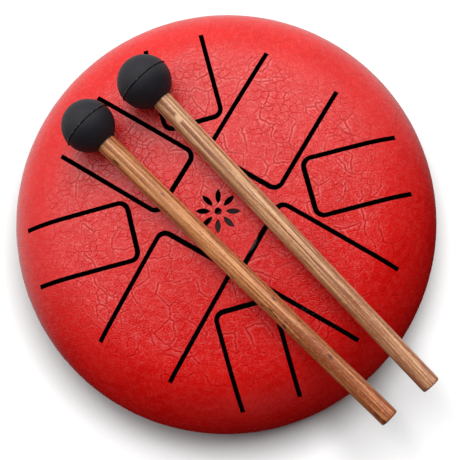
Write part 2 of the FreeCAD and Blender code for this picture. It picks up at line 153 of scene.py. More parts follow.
def add_camera():
    """Look down on the drum, a little from the lower right, from half a metre."""
    tilt = math.radians(CAMERA_TILT)
    azimuth = math.radians(CAMERA_AZIMUTH)
    roll = math.radians(CAMERA_ROLL)
    target = Vector((*CAMERA_TARGET, SEAM_HEIGHT))
    away = Vector((math.sin(tilt) * math.cos(azimuth), math.sin(tilt) * math.sin(azimuth), math.cos(tilt)))
    up = Vector((-math.sin(roll), math.cos(roll), 0))
    right = (-away).cross(up).normalized()
    top = right.cross(-away)
    data = bpy.data.cameras.new("camera")
    data.sensor_width = CAMERA_SENSOR
    data.lens = CAMERA_LENS
    data.clip_start = 0.01
    data.clip_end = 20.0
    camera = bpy.data.objects.new("camera", data)
    bpy.context.collection.objects.link(camera)
    turn = Matrix((right, top, away)).transposed().to_4x4()
    camera.matrix_world = Matrix.Translation(target + CAMERA_DISTANCE * away) @ turn
    bpy.context.scene.camera = camera


def add_softbox(name, azimuth, elevation, distance, size, power, floor=None, lights_floor=True, glossy=True):
    """Add a square soft light that faces the middle of the drum.

    With a floor given it lights the floor alone, or with lights_floor off everything but the floor.
    """
    azimuth = math.radians(azimuth)
    elevation = math.radians(elevation)
    way = Vector((math.cos(elevation) * math.cos(azimuth), math.cos(elevation) * math.sin(azimuth),
                  math.sin(elevation)))
    data = bpy.data.lights.new(name, "AREA")
    data.shape = "SQUARE"
    data.size = size
    data.energy = power
    light = bpy.data.objects.new(name, data)
    light.location = Vector((0, 0, SEAM_HEIGHT)) + way * distance
    light.rotation_euler = way.to_track_quat("Z", "Y").to_euler()
    light.visible_camera = False
    light.visible_glossy = glossy
    bpy.context.collection.objects.link(light)
    if floor is not None:
        receivers = bpy.data.collections.new(name + "_receivers")
        receivers.objects.link(floor)
        if not lights_floor:
            receivers.collection_objects[0].light_linking.link_state = "EXCLUDE"
        light.light_linking.receiver_collection = receivers


def add_room():
    """A dim room that is brighter on the key light's side."""
    azimuth = math.radians(KEY_AZIMUTH)
    world = bpy.data.worlds.new("studio")
    world.use_nodes = True
    tree = world.node_tree
    way = tree.nodes.new("ShaderNodeTexCoord").outputs["Generated"]
    side = tree.nodes.new("ShaderNodeVectorMath")
    side.operation = "DOT_PRODUCT"
    side.inputs[1].default_value = (math.cos(azimuth), math.sin(azimuth), 0)
    tree.links.new(way, side.inputs[0])
    glow = tree.nodes.new("ShaderNodeMapRange")
    glow.interpolation_type = "SMOOTHSTEP"
    for socket, value in (("From Min", -0.10), ("From Max", 0.38), ("To Min", 0.008), ("To Max", 1.6)):
        glow.inputs[socket].default_value = value
    tree.links.new(side.outputs["Value"], glow.inputs["Value"])
    height = tree.nodes.new("ShaderNodeSeparateXYZ")
    tree.links.new(way, height.inputs["Vector"])
    ceiling = tree.nodes.new("ShaderNodeMapRange")
    ceiling.interpolation_type = "SMOOTHSTEP"
    for socket, value in (("From Min", 0.15), ("From Max", 1.0), ("To Min", 0.45), ("To Max", 1.46)):
        ceiling.inputs[socket].default_value = value
    tree.links.new(height.outputs["Z"], ceiling.inputs["Value"])
    both = tree.nodes.new("ShaderNodeMath")
    both.operation = "MULTIPLY"
    tree.links.new(glow.outputs["Result"], both.inputs[0])
    tree.links.new(ceiling.outputs["Result"], both.inputs[1])
    tree.links.new(both.outputs["Value"], tree.nodes["Background"].inputs["Strength"])
    tree.nodes["Background"].inputs["Color"].default_value = (1, 1, 1, 1)
    bpy.context.scene.world = world


def add_shaded_floor(material):
    """The patch of floor under the drum that the floor lamp leaves unlit."""
    sides = 48
    turns = [2 * math.pi * k / sides for k in range(sides)]
    corners = [(SHADED_RADIUS * math.cos(t), SHADED_RADIUS * math.sin(t), SHADED_HEIGHT) for t in turns]
    mesh = bpy.data.meshes.new("shaded_floor")
    mesh.from_pydata(corners, [], [tuple(range(sides))])
    patch = bpy.data.objects.new("shaded_floor", mesh)
    bpy.context.collection.objects.link(patch)
    mesh.materials.append(material)


def add_studio():
    """Paper floor with its own lamp, a key softbox behind the drum, three fills and a dim room."""
    add_room()
    bpy.context.scene.view_settings.view_transform = "Standard"
    half = FLOOR_HALF
    corners = [(-half, -half, 0), (half, -half, 0), (half, half, 0), (-half, half, 0)]
    mesh = bpy.data.meshes.new("floor")
    mesh.from_pydata(corners, [], [(0, 1, 2, 3)])
    floor = bpy.data.objects.new("floor", mesh)
    bpy.context.collection.objects.link(floor)
    mesh.materials.append(floor_material())
    floor.visible_glossy = False
    floor.visible_diffuse = False
    add_shaded_floor(floor.data.materials[0])
    add_softbox("key_light", KEY_AZIMUTH - 16, 45, 1.4, 0.9, 8.4, floor, lights_floor=False, glossy=False)
    add_softbox("floor_light", 28, 84.8, 0.5, 0.16, 6.1, floor)
    add_softbox("front_fill", -80, 12, 1.4, 0.8, 4.2, floor, lights_floor=False, glossy=False)
    add_softbox("right_fill", 18, 15, 1.4, 0.8, 2.5, floor, lights_floor=False, glossy=False)
    add_softbox("left_fill", 205, 15, 1.4, 0.8, 1.2, floor, lights_floor=False, glossy=False)


# ------------------------------------------------------------------ shader helpers

class Shader:
    """A small builder for a node material with one Principled shader."""

    def __init__(self, name):
        self.material = bpy.data.materials.new(name)
        self.material.use_nodes = True
        self.tree = self.material.node_tree
        self.shader = self.tree.nodes["Principled BSDF"]

    def put(self, **values):
        """Set sockets of the shader: plain values, or outputs of other nodes."""
        for name, value in values.items():
            self.feed(self.shader, name.replace("_", " "), value)
        return self

    def feed(self, node, socket, value):
        """Link an output to a socket, or set the socket's own value."""
        target = node.inputs[socket]
        if isinstance(value, bpy.types.NodeSocket):
            self.tree.links.new(value, target)
        elif value is not None:
            target.default_value = value

    def node(self, kind, settings=None, **sockets):
        """Add a node with its settings and sockets."""
        node = self.tree.nodes.new(kind)
        for name, value in (settings or {}).items():
            setattr(node, name, value)
        for name, value in sockets.items():
            self.feed(node, name.replace("_", " "), value)
        return node

    def position(self):
        """Position in the drum's own frame."""
        return self.node("ShaderNodeTexCoord").outputs["Object"]

    def attribute(self, name, output="Fac"):
        """A value that the mesh code stores at each point."""
        return self.node("ShaderNodeAttribute", {"attribute_name": name}).outputs[output]

    def stretch(self, vector, scale):
        """Scale a position along its three directions."""
        return self.node("ShaderNodeMapping", Vector=vector, Scale=scale).outputs["Vector"]

    def noise(self, vector, scale, detail=3.0, roughness=0.5, distortion=0.0):
        """Fractal noise from 0 to 1."""
        return self.node("ShaderNodeTexNoise", Vector=vector, Scale=scale, Detail=detail,
                         Roughness=roughness, Distortion=distortion).outputs["Fac"]

    def cells(self, vector, scale, feature="DISTANCE_TO_EDGE"):
        """Distance to the nearest edge or middle of random cells."""
        settings = {"feature": feature, "voronoi_dimensions": "2D"}
        return self.node("ShaderNodeTexVoronoi", settings, Vector=vector, Scale=scale).outputs["Distance"]

    def math(self, operation, first, second=None, third=None):
        """One Math node."""
        node = self.node("ShaderNodeMath", {"operation": operation})
        for place, value in enumerate((first, second, third)):
            if isinstance(value, bpy.types.NodeSocket):
                self.tree.links.new(value, node.inputs[place])
            elif value is not None:
                node.inputs[place].default_value = value
        return node.outputs["Value"]

    def span(self, value, low, high, to_low=0.0, to_high=1.0, smooth=True):
        """Map a range of values to another, clamped."""
        node = self.node("ShaderNodeMapRange", {"interpolation_type": "SMOOTHSTEP" if smooth else "LINEAR"})
        for socket, number in (("Value", value), ("From Min", low), ("From Max", high),
                               ("To Min", to_low), ("To Max", to_high)):
            self.feed(node, socket, number)
        return node.outputs["Result"]

    def mix(self, amount, first, second, blend="MIX"):
        """Mix two colours."""
        node = self.node("ShaderNodeMix", {"data_type": "RGBA", "blend_type": blend})
        for place, value in ((0, amount), (6, first), (7, second)):
            if isinstance(value, bpy.types.NodeSocket):
                self.tree.links.new(value, node.inputs[place])
            else:
                node.inputs[place].default_value = value if place == 0 else (*value, 1.0)
        return node.outputs[2]

    def bump(self, height, distance, strength=1.0, below=None):
        """Tilt the normal by a height map, on top of another bump."""
        node = self.node("ShaderNodeBump", Height=height, Distance=distance, Strength=strength, Normal=below)
        return node.outputs["Normal"]


# ------------------------------------------------------------------ materials

def floor_material():
    """Plain grey paper, which the floor lamp lights to white."""
    s = Shader("floor_paper")
    grain = s.noise(s.position(), 900.0, 2.0)
    s.put(Base_Color=s.mix(grain, (0.44, 0.44, 0.44), (0.46, 0.46, 0.46)), Roughness=0.9)
    s.put(Specular_IOR_Level=0.1)
    return s.material


def enamel(name, creased):
    """Red crackle enamel. The deep red in the creases and fine cracks is painted shade; between them a satin
    red with a pale painted sheen, strongest on the crown and on the key light's side.
    """
    s = Shader(name)
    place = s.attribute("flat", "Vector") if creased else s.position()
    per_mm = 1.0 if creased else 1000.0
    cloud = s.noise(place, 0.06 * per_mm, 4.0, 0.6)
    mottle = s.noise(place, 0.42 * per_mm, 5.0, 0.65)
    grain = s.noise(place, 1.5 * per_mm, 3.0, 0.7)
    out = s.node("ShaderNodeVectorMath", {"operation": "LENGTH"}, Vector=place).outputs["Value"]
    # Painted sheen mask: full on the crown, fading down the shoulder, and weaker away from the key light's
    # side.
    painted_sheen_mask = s.span(out, 48.0, 64.0, 1.0, 0.3)
    side = s.node("ShaderNodeVectorMath", {"operation": "DOT_PRODUCT"})
    s.feed(side, 0, place)
    side.inputs[1].default_value = (-0.41, 0.91, 0.0)
    painted_sheen_mask = s.math("MULTIPLY", painted_sheen_mask, s.span(side.outputs["Value"], -52.0, 6.0, 0.40, 1.0))
    colour = s.mix(s.span(cloud, 0.35, 0.65), (0.67, 0.003, 0.002), (0.73, 0.008, 0.006))
    colour = s.mix(s.span(mottle, 0.4, 0.75, 0.0, 0.5), colour, (0.76, 0.024, 0.021))
    # Pale pink haze in the colour, speckled by the grain: a painted sheen.
    painted_sheen = s.math("MULTIPLY", s.span(grain, 0.48, 0.70, 0.0, 0.64), painted_sheen_mask)
    colour = s.mix(painted_sheen, colour, (0.80, 0.110, 0.104))
    rough = s.span(grain, 0.3, 0.7, 0.17, 0.28)
    height = s.math("ADD", s.math("MULTIPLY", grain, 0.7), s.math("MULTIPLY", mottle, 1.1))
    if creased:
        bent = s.node("ShaderNodeVectorMath", {"operation": "MULTIPLY_ADD"})
        s.feed(bent, 0, s.node("ShaderNodeTexNoise", Vector=place, Scale=0.5, Detail=3.0).outputs["Color"])
        bent.inputs[1].default_value = (1.8, 1.8, 0.0)
        s.feed(bent, 2, place)
        # The fine cracks show most where the painted sheen is strong.
        patch = s.span(s.noise(place, 0.08, 2.0), 0.40, 0.62)
        patch = s.math("MULTIPLY", patch, painted_sheen_mask)
        small = s.span(s.cells(bent.outputs["Vector"], 0.40), 0.0, 0.10, 1.0, 0.0)
        tiny = s.span(s.cells(bent.outputs["Vector"], 0.85), 0.0, 0.12, 1.0, 0.0)
        small = s.math("MULTIPLY", small, s.span(patch, 0.0, 1.0, 0.4, 1.0))
        tiny = s.math("MULTIPLY", tiny, s.span(mottle, 0.45, 0.60))
        crease = s.attribute("crease")
        lip = s.attribute("lip")
        # Pale crack lips and hairlines: painted highlight on the ridges, weighted by the painted sheen mask.
        pale = s.math("MAXIMUM", s.span(lip, 0.22, 0.80, 0.0, 0.72), s.math("MULTIPLY", tiny, 0.85))
        colour = s.mix(s.math("MULTIPLY", pale, painted_sheen_mask), colour, (0.82, 0.165, 0.155))
        # Deep red in the fine cracks and the creases: painted shade in the grooves.
        colour = s.mix(s.math("MULTIPLY", small, 0.95), colour, (0.60, 0.001, 0.001))
        colour = s.mix(s.span(crease, 0.08, 0.42), colour, (0.59, 0.001, 0.001))
        rough = s.math("ADD", rough, s.math("MULTIPLY", crease, 0.12))
        height = s.math("SUBTRACT", height, s.math("MULTIPLY", small, 0.7))
    s.put(Base_Color=colour, Roughness=rough, Normal=s.bump(height, 0.00012, 0.9))
    s.put(Specular_IOR_Level=0.45)
    return s.material


def dark_lining():
    """Near-black inside of the shell and on the slot walls: painted shade for the dim hollow behind the
    slots.
    """
    s = Shader("dark_lining")
    spots = s.noise(s.position(), 300.0, 3.0)
    s.put(Base_Color=s.mix(spots, (0.012, 0.009, 0.010), (0.022, 0.016, 0.017)), Roughness=0.9)
    s.put(Specular_IOR_Level=0.1, Normal=s.bump(spots, 0.0001))
    return s.material


def rubber(name, low, high, moulded=False):
    """Matt moulded rubber with a dusty bloom. On the moulded heads, pale dust is thicker on the tip half,
    partly dust and partly a painted sheen, and the parting line is darkened with painted shade.
    """
    s = Shader(name)
    place = s.position()
    bloom = s.noise(place, 120.0, 5.0, 0.65)
    grain = s.noise(place, 2400.0, 3.0, 0.6)
    colour = s.mix(s.span(bloom, 0.35, 0.7), low, high)
    height = s.math("ADD", s.math("MULTIPLY", grain, 0.6), bloom)
    if moulded:
        tip = s.attribute("tip")
        seam = s.attribute("seam")
        # Pale specks, thicker on the tip half: partly dust, partly a painted sheen.
        dust_and_tip_sheen = s.span(s.noise(place, 700.0, 4.0, 0.7), 0.52, 0.74)
        dust_and_tip_sheen = s.math("MULTIPLY", dust_and_tip_sheen, s.span(bloom, 0.42, 0.62))
        dust_and_tip_sheen = s.math("MULTIPLY", dust_and_tip_sheen, s.span(tip, 0.0, 1.0, 0.2, 0.5))
        colour = s.mix(dust_and_tip_sheen, colour, (0.070, 0.066, 0.076))
        # Darker parting line: painted shade in the flash's groove.
        colour = s.mix(s.math("MULTIPLY", seam, 0.8), colour, [c * 0.35 for c in low])
        crumbs = s.span(s.noise(place, 1100.0, 2.0), 0.62, 0.70)
        crumbs = s.math("MULTIPLY", crumbs, s.span(seam, 0.5, 0.9))
        colour = s.mix(s.math("MULTIPLY", crumbs, 0.8), colour, (0.20, 0.19, 0.09))
    rough = s.span(bloom, 0.3, 0.7, 0.50, 0.66)
    s.put(Base_Color=colour, Roughness=rough, Normal=s.bump(height, 0.00005, 0.6))
    s.put(Specular_IOR_Level=0.35)
    return s.material


def plated_steel():
    """Black zinc-plated fastener with fine turning marks."""
    s = Shader("black_zinc_plate")
    marks = s.noise(s.stretch(s.position(), (1.0, 1.0, 6.0)), 900.0, 4.0, 0.6)
    stain = s.noise(s.position(), 220.0, 3.0)
    colour = s.mix(stain, (0.045, 0.045, 0.048), (0.080, 0.080, 0.085))
    s.put(Base_Color=colour, Roughness=s.span(marks, 0.3, 0.7, 0.28, 0.45), Normal=s.bump(marks, 0.00002))
    s.put(Metallic=1.0)
    return s.material


def wood(name, pale, dark, streak, reddish, amounts):
    """Varnished hardwood: streaks and growth bands, fine fibres and pores along the stick, small knots. The
    streak value per point also carries painted shade on the flanks and a painted highlight along the top.
    """
    banding, lining, specks, redness = amounts
    s = Shader(name)
    grain = s.attribute("grain", "Vector")
    knot = s.attribute("knot")
    streaks_with_shade = s.attribute("streaks_with_shade")
    bands = s.noise(s.stretch(grain, (1.0, 1.0, 0.030)), 0.55, 3.0, 0.55, 0.5)
    lines = s.noise(s.stretch(grain, (1.0, 0.6, 0.014)), 1.25, 3.0, 0.6, 0.3)
    fibre = s.noise(s.stretch(grain, (1.0, 1.0, 0.10)), 3.2, 4.0, 0.7)
    pores = s.noise(s.stretch(grain, (1.0, 1.0, 0.22)), 2.1, 2.0, 0.5)
    fleck = s.noise(s.stretch(grain, (1.0, 1.0, 0.24)), 3.3, 2.0, 0.6)
    threads = s.noise(s.stretch(grain, (1.0, 1.0, 0.020)), 1.9, 2.0, 0.5)
    cloud = s.noise(s.stretch(grain, (1.0, 1.0, 0.35)), 0.16, 2.0)
    end = s.span(s.node("ShaderNodeSeparateXYZ", Vector=grain).outputs["Z"], 50.0, 125.0)
    bright = (min(1.0, 1.12 * pale[0]), 1.16 * pale[1], 1.30 * pale[2])
    deep = (0.54 * dark[0], 0.36 * dark[1], 0.30 * dark[2])
    colour = s.mix(s.span(bands, 0.36, 0.66, 0.0, banding), pale, dark)
    colour = s.mix(s.math("MULTIPLY", end, redness), colour, reddish)
    # Streak value from the mesh: grain streaks, plus painted shade on the flanks (deep) and a painted
    # highlight along the top (bright).
    colour = s.mix(s.span(streaks_with_shade, 0.05, 1.0, 0.0, 0.9), colour, deep)
    colour = s.mix(s.span(streaks_with_shade, -0.05, -1.0, 0.0, 0.9), colour, bright)
    colour = s.mix(s.span(fibre, 0.42, 0.72, 0.0, 0.35), colour, deep)
    colour = s.mix(s.span(fibre, 0.42, 0.25, 0.0, 0.35), colour, bright)
    colour = s.mix(s.span(threads, 0.50, 0.62, 0.0, 0.70), colour, deep)
    colour = s.mix(s.span(threads, 0.48, 0.36, 0.0, 0.65), colour, bright)
    colour = s.mix(s.span(fleck, 0.52, 0.66, 0.0, 0.35), colour, deep)
    colour = s.mix(s.span(fleck, 0.46, 0.34, 0.0, 0.35), colour, bright)
    colour = s.mix(s.span(lines, 0.50, 0.60, 0.0, lining), colour, streak)
    patch = s.span(cloud, 0.42, 0.60)
    colour = s.mix(s.math("MULTIPLY", s.span(pores, 0.62, 0.69, 0.0, specks), patch), colour, streak)
    colour = s.mix(s.span(knot, 0.15, 0.8, 0.0, 0.9), colour, [c * 0.35 for c in streak])
    colour = s.mix(s.span(knot, -0.15, -0.6, 0.0, 0.85), colour, bright)
    height = s.math("SUBTRACT", s.math("MULTIPLY", fibre, 0.8), s.span(pores, 0.62, 0.72))
    height = s.math("SUBTRACT", height, s.math("MULTIPLY", s.math("ABSOLUTE", knot), 0.8))
    rough = s.span(fibre, 0.3, 0.7, 0.30, 0.48)
    s.put(Base_Color=colour, Roughness=rough, Normal=s.bump(height, 0.00006, 0.8))
    s.put(Specular_IOR_Level=0.6)
    return s.material


# ------------------------------------------------------------------ mesh helpers

def new_piece(name, points, faces, body, nodes, materials):
    """Make one mesh piece that rides on a body and stands for its CAD nodes."""
    mesh = bpy.data.meshes.new(name)
    mesh.from_pydata([tuple(p) for p in points], [], faces)
    mesh.validate()
    for polygon in mesh.polygons:
        polygon.use_smooth = True
    for material in materials:
        mesh.materials.append(material)
    piece = bpy.data.objects.new(name, mesh)
    bpy.context.collection.objects.link(piece)
    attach(piece, body)
    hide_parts(*nodes)
    return piece


def sharpen(mesh, angle):
    """Mark the edges that fold by more than an angle as sharp."""
    shape = bmesh.new()
    shape.from_mesh(mesh)
    bmesh.ops.recalc_face_normals(shape, faces=shape.faces)
    for edge in shape.edges:
        edge.smooth = len(edge.link_faces) != 2 or edge.calc_face_angle(0.0) < angle
    shape.to_mesh(mesh)
    shape.free()


def store(mesh, name, kind, values):
    """Store a value or a vector at each point of a mesh."""
    layer = mesh.attributes.new(name, kind, "POINT")
    field = "vector" if kind == "FLOAT_VECTOR" else "value"
    if field == "vector":
        values = [number for vector in values for number in vector]
    layer.data.foreach_set(field, values)


# ------------------------------------------------------------------ openings, read from the CAD shell

LOOP_STEP = 0.9 * MM


def shell_matrix(upside_down):
    """Place of a half shell built crown up over its seam."""
    turn = Matrix.Rotation(math.pi, 4, "X") if upside_down else Matrix.Identity(4)
    return Matrix.Translation((0, 0, SEAM_HEIGHT)) @ turn


def opening_edges(node, matrix):
    """Edges where the CAD shell's outer face meets the wall of an opening."""
    shape = bmesh.new()
    shape.from_mesh(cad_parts[node].data)
    bmesh.ops.transform(shape, matrix=matrix.inverted(), verts=shape.verts)
    bmesh.ops.remove_doubles(shape, verts=shape.verts, dist=1e-6)
    corners = {}
    for edge in shape.edges:
        ends = [v.co for v in edge.verts]
        radii = [math.hypot(p.x, p.y) for p in ends]
        if max(radii) > DRUM_RADIUS - 2 * MM:
            continue
        tops = [OUTER.at(OUTER.along_at(r))[1] for r in radii]
        if any(abs(p.z - top) > 0.06 * MM for p, top in zip(ends, tops)):
            continue
        walls = [f for f in edge.link_faces if abs(f.normal.z) < 0.3]
        if len(walls) != 1:
            continue
        keys = [(round(p.x, 7), round(p.y, 7)) for p in ends]
        if keys[0] != keys[1]:
            corners.setdefault(keys[0], []).append(keys[1])
            corners.setdefault(keys[1], []).append(keys[0])
    shape.free()
    return corners


def opening_loops(node, matrix):
    """The plan outline of each opening of a shell, resampled to short steps."""
    corners = opening_edges(node, matrix)
    loops = []
    unused = set(corners)
    while unused:
        start = min(unused)
        loop = [start]
        unused.discard(start)
        while True:
            onward = [k for k in corners[loop[-1]] if k in unused]
            if not onward:
                break
            loop.append(onward[0])
            unused.discard(onward[0])
        loops.append(anticlockwise([Vector(k) for k in loop]))
    return [resample(loop) for loop in loops if len(loop) > 5]


def anticlockwise(loop):
    """The outline in anticlockwise order."""
    area = sum(loop[k - 1].cross(loop[k]) for k in range(len(loop)))
    return loop if area > 0 else loop[::-1]


def resample(loop):
    """Cut the sides of a closed outline into steps no longer than LOOP_STEP."""
    points = []
    for place, point in enumerate(loop):
        onward = loop[(place + 1) % len(loop)]
        steps = max(1, math.ceil((onward - point).length / LOOP_STEP))
        points += [point.lerp(onward, k / steps) for k in range(steps)]
    return points


# ------------------------------------------------------------------ crackle of the enamel

PLATE = 6.6 * MM
SHOULDER_START = 46.0 * MM
SHOULDER_STRETCH = 2.0
CRACK_STEP = 0.45 * MM
GROOVE_WIDTH = 0.17 * MM
GROOVE_DEPTH = 0.030 * MM
LIP_PLACE = 0.43 * MM
LIP_WIDTH = 0.14 * MM
LIP_RISE = 0.042 * MM
SWELL = 0.05 * MM


def stretched(point):
    """Stretch the shoulder along the meridian, where the plates are drawn out round the drum."""
    radius = point.length
    if radius <= SHOULDER_START:
        return point
    return point * ((SHOULDER_START + (radius - SHOULDER_START) * SHOULDER_STRETCH) / radius)


def relaxed(point):
    """The reverse of stretched()."""
    radius = point.length
    if radius <= SHOULDER_START:
        return point
    return point * ((SHOULDER_START + (radius - SHOULDER_START) / SHOULDER_STRETCH) / radius)


def scatter(draw, reach):
    """Middles of the crackle's plates: random, of mixed sizes, larger down the shoulder."""
    cell = 4.0 * MM
    grid = {}
    points = []
    near = [(i, j) for i in range(-4, 5) for j in range(-4, 5)]
    for _ in range(16000):
        angle = draw.uniform(0, 2 * math.pi)
        point = Vector((math.cos(angle), math.sin(angle))) * (reach * math.sqrt(draw.random()))
        down = min(1.0, max(0.0, (point.length - SHOULDER_START) / (50 * MM)))
        gap = PLATE * (1 + 0.75 * down) * draw.uniform(0.55, 1.3)
        home = (int(point.x // cell), int(point.y // cell))
        close = (p for i, j in near for p in grid.get((home[0] + i, home[1] + j), ()))
        if all((p - point).length > gap for p in close):
            grid.setdefault(home, []).append(point)
            points.append(point)
    return points


def circumcentre(a, b, c):
    """Middle of the circle through three points, or None where they are in line."""
    b = b - a
    c = c - a
    d = 2 * (b.x * c.y - b.y * c.x)
    if abs(d) < 1e-12:
        return None
    x = (c.y * b.length_squared - b.y * c.length_squared) / d
    y = (b.x * c.length_squared - c.x * b.length_squared) / d
    return a + Vector((x, y))


def plate_borders(seeds):
    """The straight borders between the plates round the seeds."""
    faces = delaunay_2d_cdt(seeds, [], [], 0, 1e-9)
    points, triangles = faces[0], faces[2]
    centres = [circumcentre(*(points[i] for i in t)) for t in triangles]
    sides = {}
    for number, triangle in enumerate(triangles):
        for k in range(3):
            key = tuple(sorted((triangle[k], triangle[(k + 1) % 3])))
            sides.setdefault(key, []).append(number)
    pairs = [pair for pair in sides.values() if len(pair) == 2]
    return [(centres[a], centres[b]) for a, b in pairs if centres[a] and centres[b]]


def wander(point):
    """Shift a point by smooth noise, so that straight borders become natural cracks."""
    at = Vector((point.x / MM, point.y / MM, 0.0))
    slow = noise.noise_vector(at / 5.5)
    quick = noise.noise_vector(at / 1.5 + Vector((31.7, 5.3, 2.0)))
    return Vector((point.x + (1.5 * slow.x + 0.42 * quick.x) * MM,
                   point.y + (1.5 * slow.y + 0.42 * quick.y) * MM))


def crack_points(seed):
    """Points along every crack, each with its depth from 0 to 1 and the crack's direction."""
    draw = random.Random(seed)
    reach = stretched(Vector((OUTER.end, 0))).length + 12 * MM
    found = []
    for start, end in plate_borders(scatter(draw, reach)):
        depth = draw.uniform(0.15, 1.0)
        missing = draw.random() < 0.14
        if missing or start.length > reach or end.length > reach or (end - start).length < 0.3 * MM:
            continue
        start, end = relaxed(start), relaxed(end)
        count = max(1, math.ceil((end - start).length / CRACK_STEP))
        line = [wander(start.lerp(end, k / count)) for k in range(count + 1)]
        for k, point in enumerate(line):
            ahead = line[min(k + 1, count)] - line[max(k - 1, 0)]
            if ahead.length < 1e-9 or point.length > OUTER.end:
                continue
            at = Vector((point.x / MM, point.y / MM, 7.0))
            fade = 0.85 + 0.8 * noise.noise(at / 9.0) + 0.35 * noise.noise(at / 2.5)
            worn = min(1.0, max(0.0, (point.length - 50 * MM) / (14 * MM)))
            found.append((point, max(0.05, min(1.0, depth * fade)) * (1 - 0.6 * worn), ahead.normalized()))
    return found


def hill(distance, width):
    """A smooth bump of height 1."""
    return math.exp(-((distance / width) ** 2))


class Crackle:
    """The crackle of one shell: where its cracks run and how the face rises and sinks."""

    def __init__(self, seed):
        self.cracks = crack_points(seed)
        self.tree = kdtree.KDTree(len(self.cracks))
        for number, (point, _, _) in enumerate(self.cracks):
            self.tree.insert((point.x, point.y, 0), number)
        self.tree.balance()

    def marks(self, flat):
        """How deep in a crack and how high on a crack's lip a point lies, each from 0 to 1."""
        groove = lip = 0.0
        for _, number, distance in self.tree.find_n((flat.x, flat.y, 0), 5):
            if distance > 3 * LIP_PLACE:
                break
            point, depth, way = self.cracks[number]
            offset = flat - point
            beyond = max(0.0, abs(offset.dot(way)) - CRACK_STEP / 2)
            away = math.hypot(way.cross(offset), beyond)
            groove = max(groove, depth * hill(away, GROOVE_WIDTH))
            lip = max(lip, depth * hill(away - LIP_PLACE, LIP_WIDTH))
        return groove, lip * (1 - min(1.0, 1.4 * groove))

    def sink(self, flat, groove, lip):
        """How far the enamel's face lies below the smooth shell."""
        at = Vector((flat.x / MM, flat.y / MM, 3.0))
        swell = noise.noise(at / 3.4)
        fade = min(1.0, (OUTER.end - flat.length) / (1.5 * MM))
        return fade * (GROOVE_DEPTH * groove - LIP_RISE * lip + SWELL * swell)

    def rows(self):
        """Mesh points along the bottom, the flanks and the lips of each crack."""
        for offset in (0.0, 0.21 * MM, -0.21 * MM, 0.46 * MM, -0.46 * MM):
            for point, _, way in self.cracks:
                yield point + Vector((-way.y, way.x)) * offset


# ------------------------------------------------------------------ the two half shells

RIM_STEPS = 420


def ring(meridian):
    """Flattened points round the shell's lower edge."""
    turns = [2 * math.pi * k / RIM_STEPS for k in range(RIM_STEPS)]
    return [Vector((math.cos(t), math.sin(t))) * meridian.end for t in turns]


def honeycomb(step, reach):
    """An even triangular grid of points inside a circle."""
    rows = math.ceil(reach / (step * 0.866))
    for j in range(-rows, rows + 1):
        for i in range(-rows, rows + 1):
            point = Vector(((i + 0.5 * (j % 2)) * step, j * step * 0.866))
            if point.length < reach:
                yield point


def fill_points(fixed, wanted, gap):
    """Keep the wanted points that stay a gap away from the fixed ones and from each other."""
    cell = gap
    grid = {}
    for point in fixed:
        grid.setdefault((int(point.x // cell), int(point.y // cell)), []).append(point)
    kept = []
    for point in wanted:
        home = (int(point.x // cell), int(point.y // cell))
        ring_cells = ((home[0] + i, home[1] + j) for i in (-1, 0, 1) for j in (-1, 0, 1))
        if all((p - point).length > gap for c in ring_cells for p in grid.get(c, ())):
            grid.setdefault(home, []).append(point)
            kept.append(point)
    return kept


def triangulate(meridian, loops, inside):
    """Triangles of the flattened face between its rim and its openings.

    The rim comes first in the points, then each opening's outline, so that walls can be added.
    """
    points = ring(meridian)
    outlines = [list(range(RIM_STEPS))]
    for loop in loops:
        outlines.append(list(range(len(points), len(points) + len(loop))))
        points += [meridian.unroll(p) for p in loop]
    points += [p for p in inside if p.length < meridian.end - 0.3 * MM]
    result = delaunay_2d_cdt(points, [], outlines, 0, 1e-8)
    flat, _, triangles, origins, _, face_origins = result
    new_number = {}
    for number, sources in enumerate(origins):
        for source in sources:
            new_number[source] = number
    kept = [t for t, sources in zip(triangles, face_origins) if sources == [0]]
    borders = [[new_number[i] for i in outline] for outline in outlines]
    return flat, kept, borders


def face_up(flat, triangle):
    """Order a flat triangle anticlockwise."""
    a, b, c = (flat[i] for i in triangle)
    turn = (b - a).cross(c - a)
    return tuple(triangle) if turn > 0 else tuple(reversed(triangle))


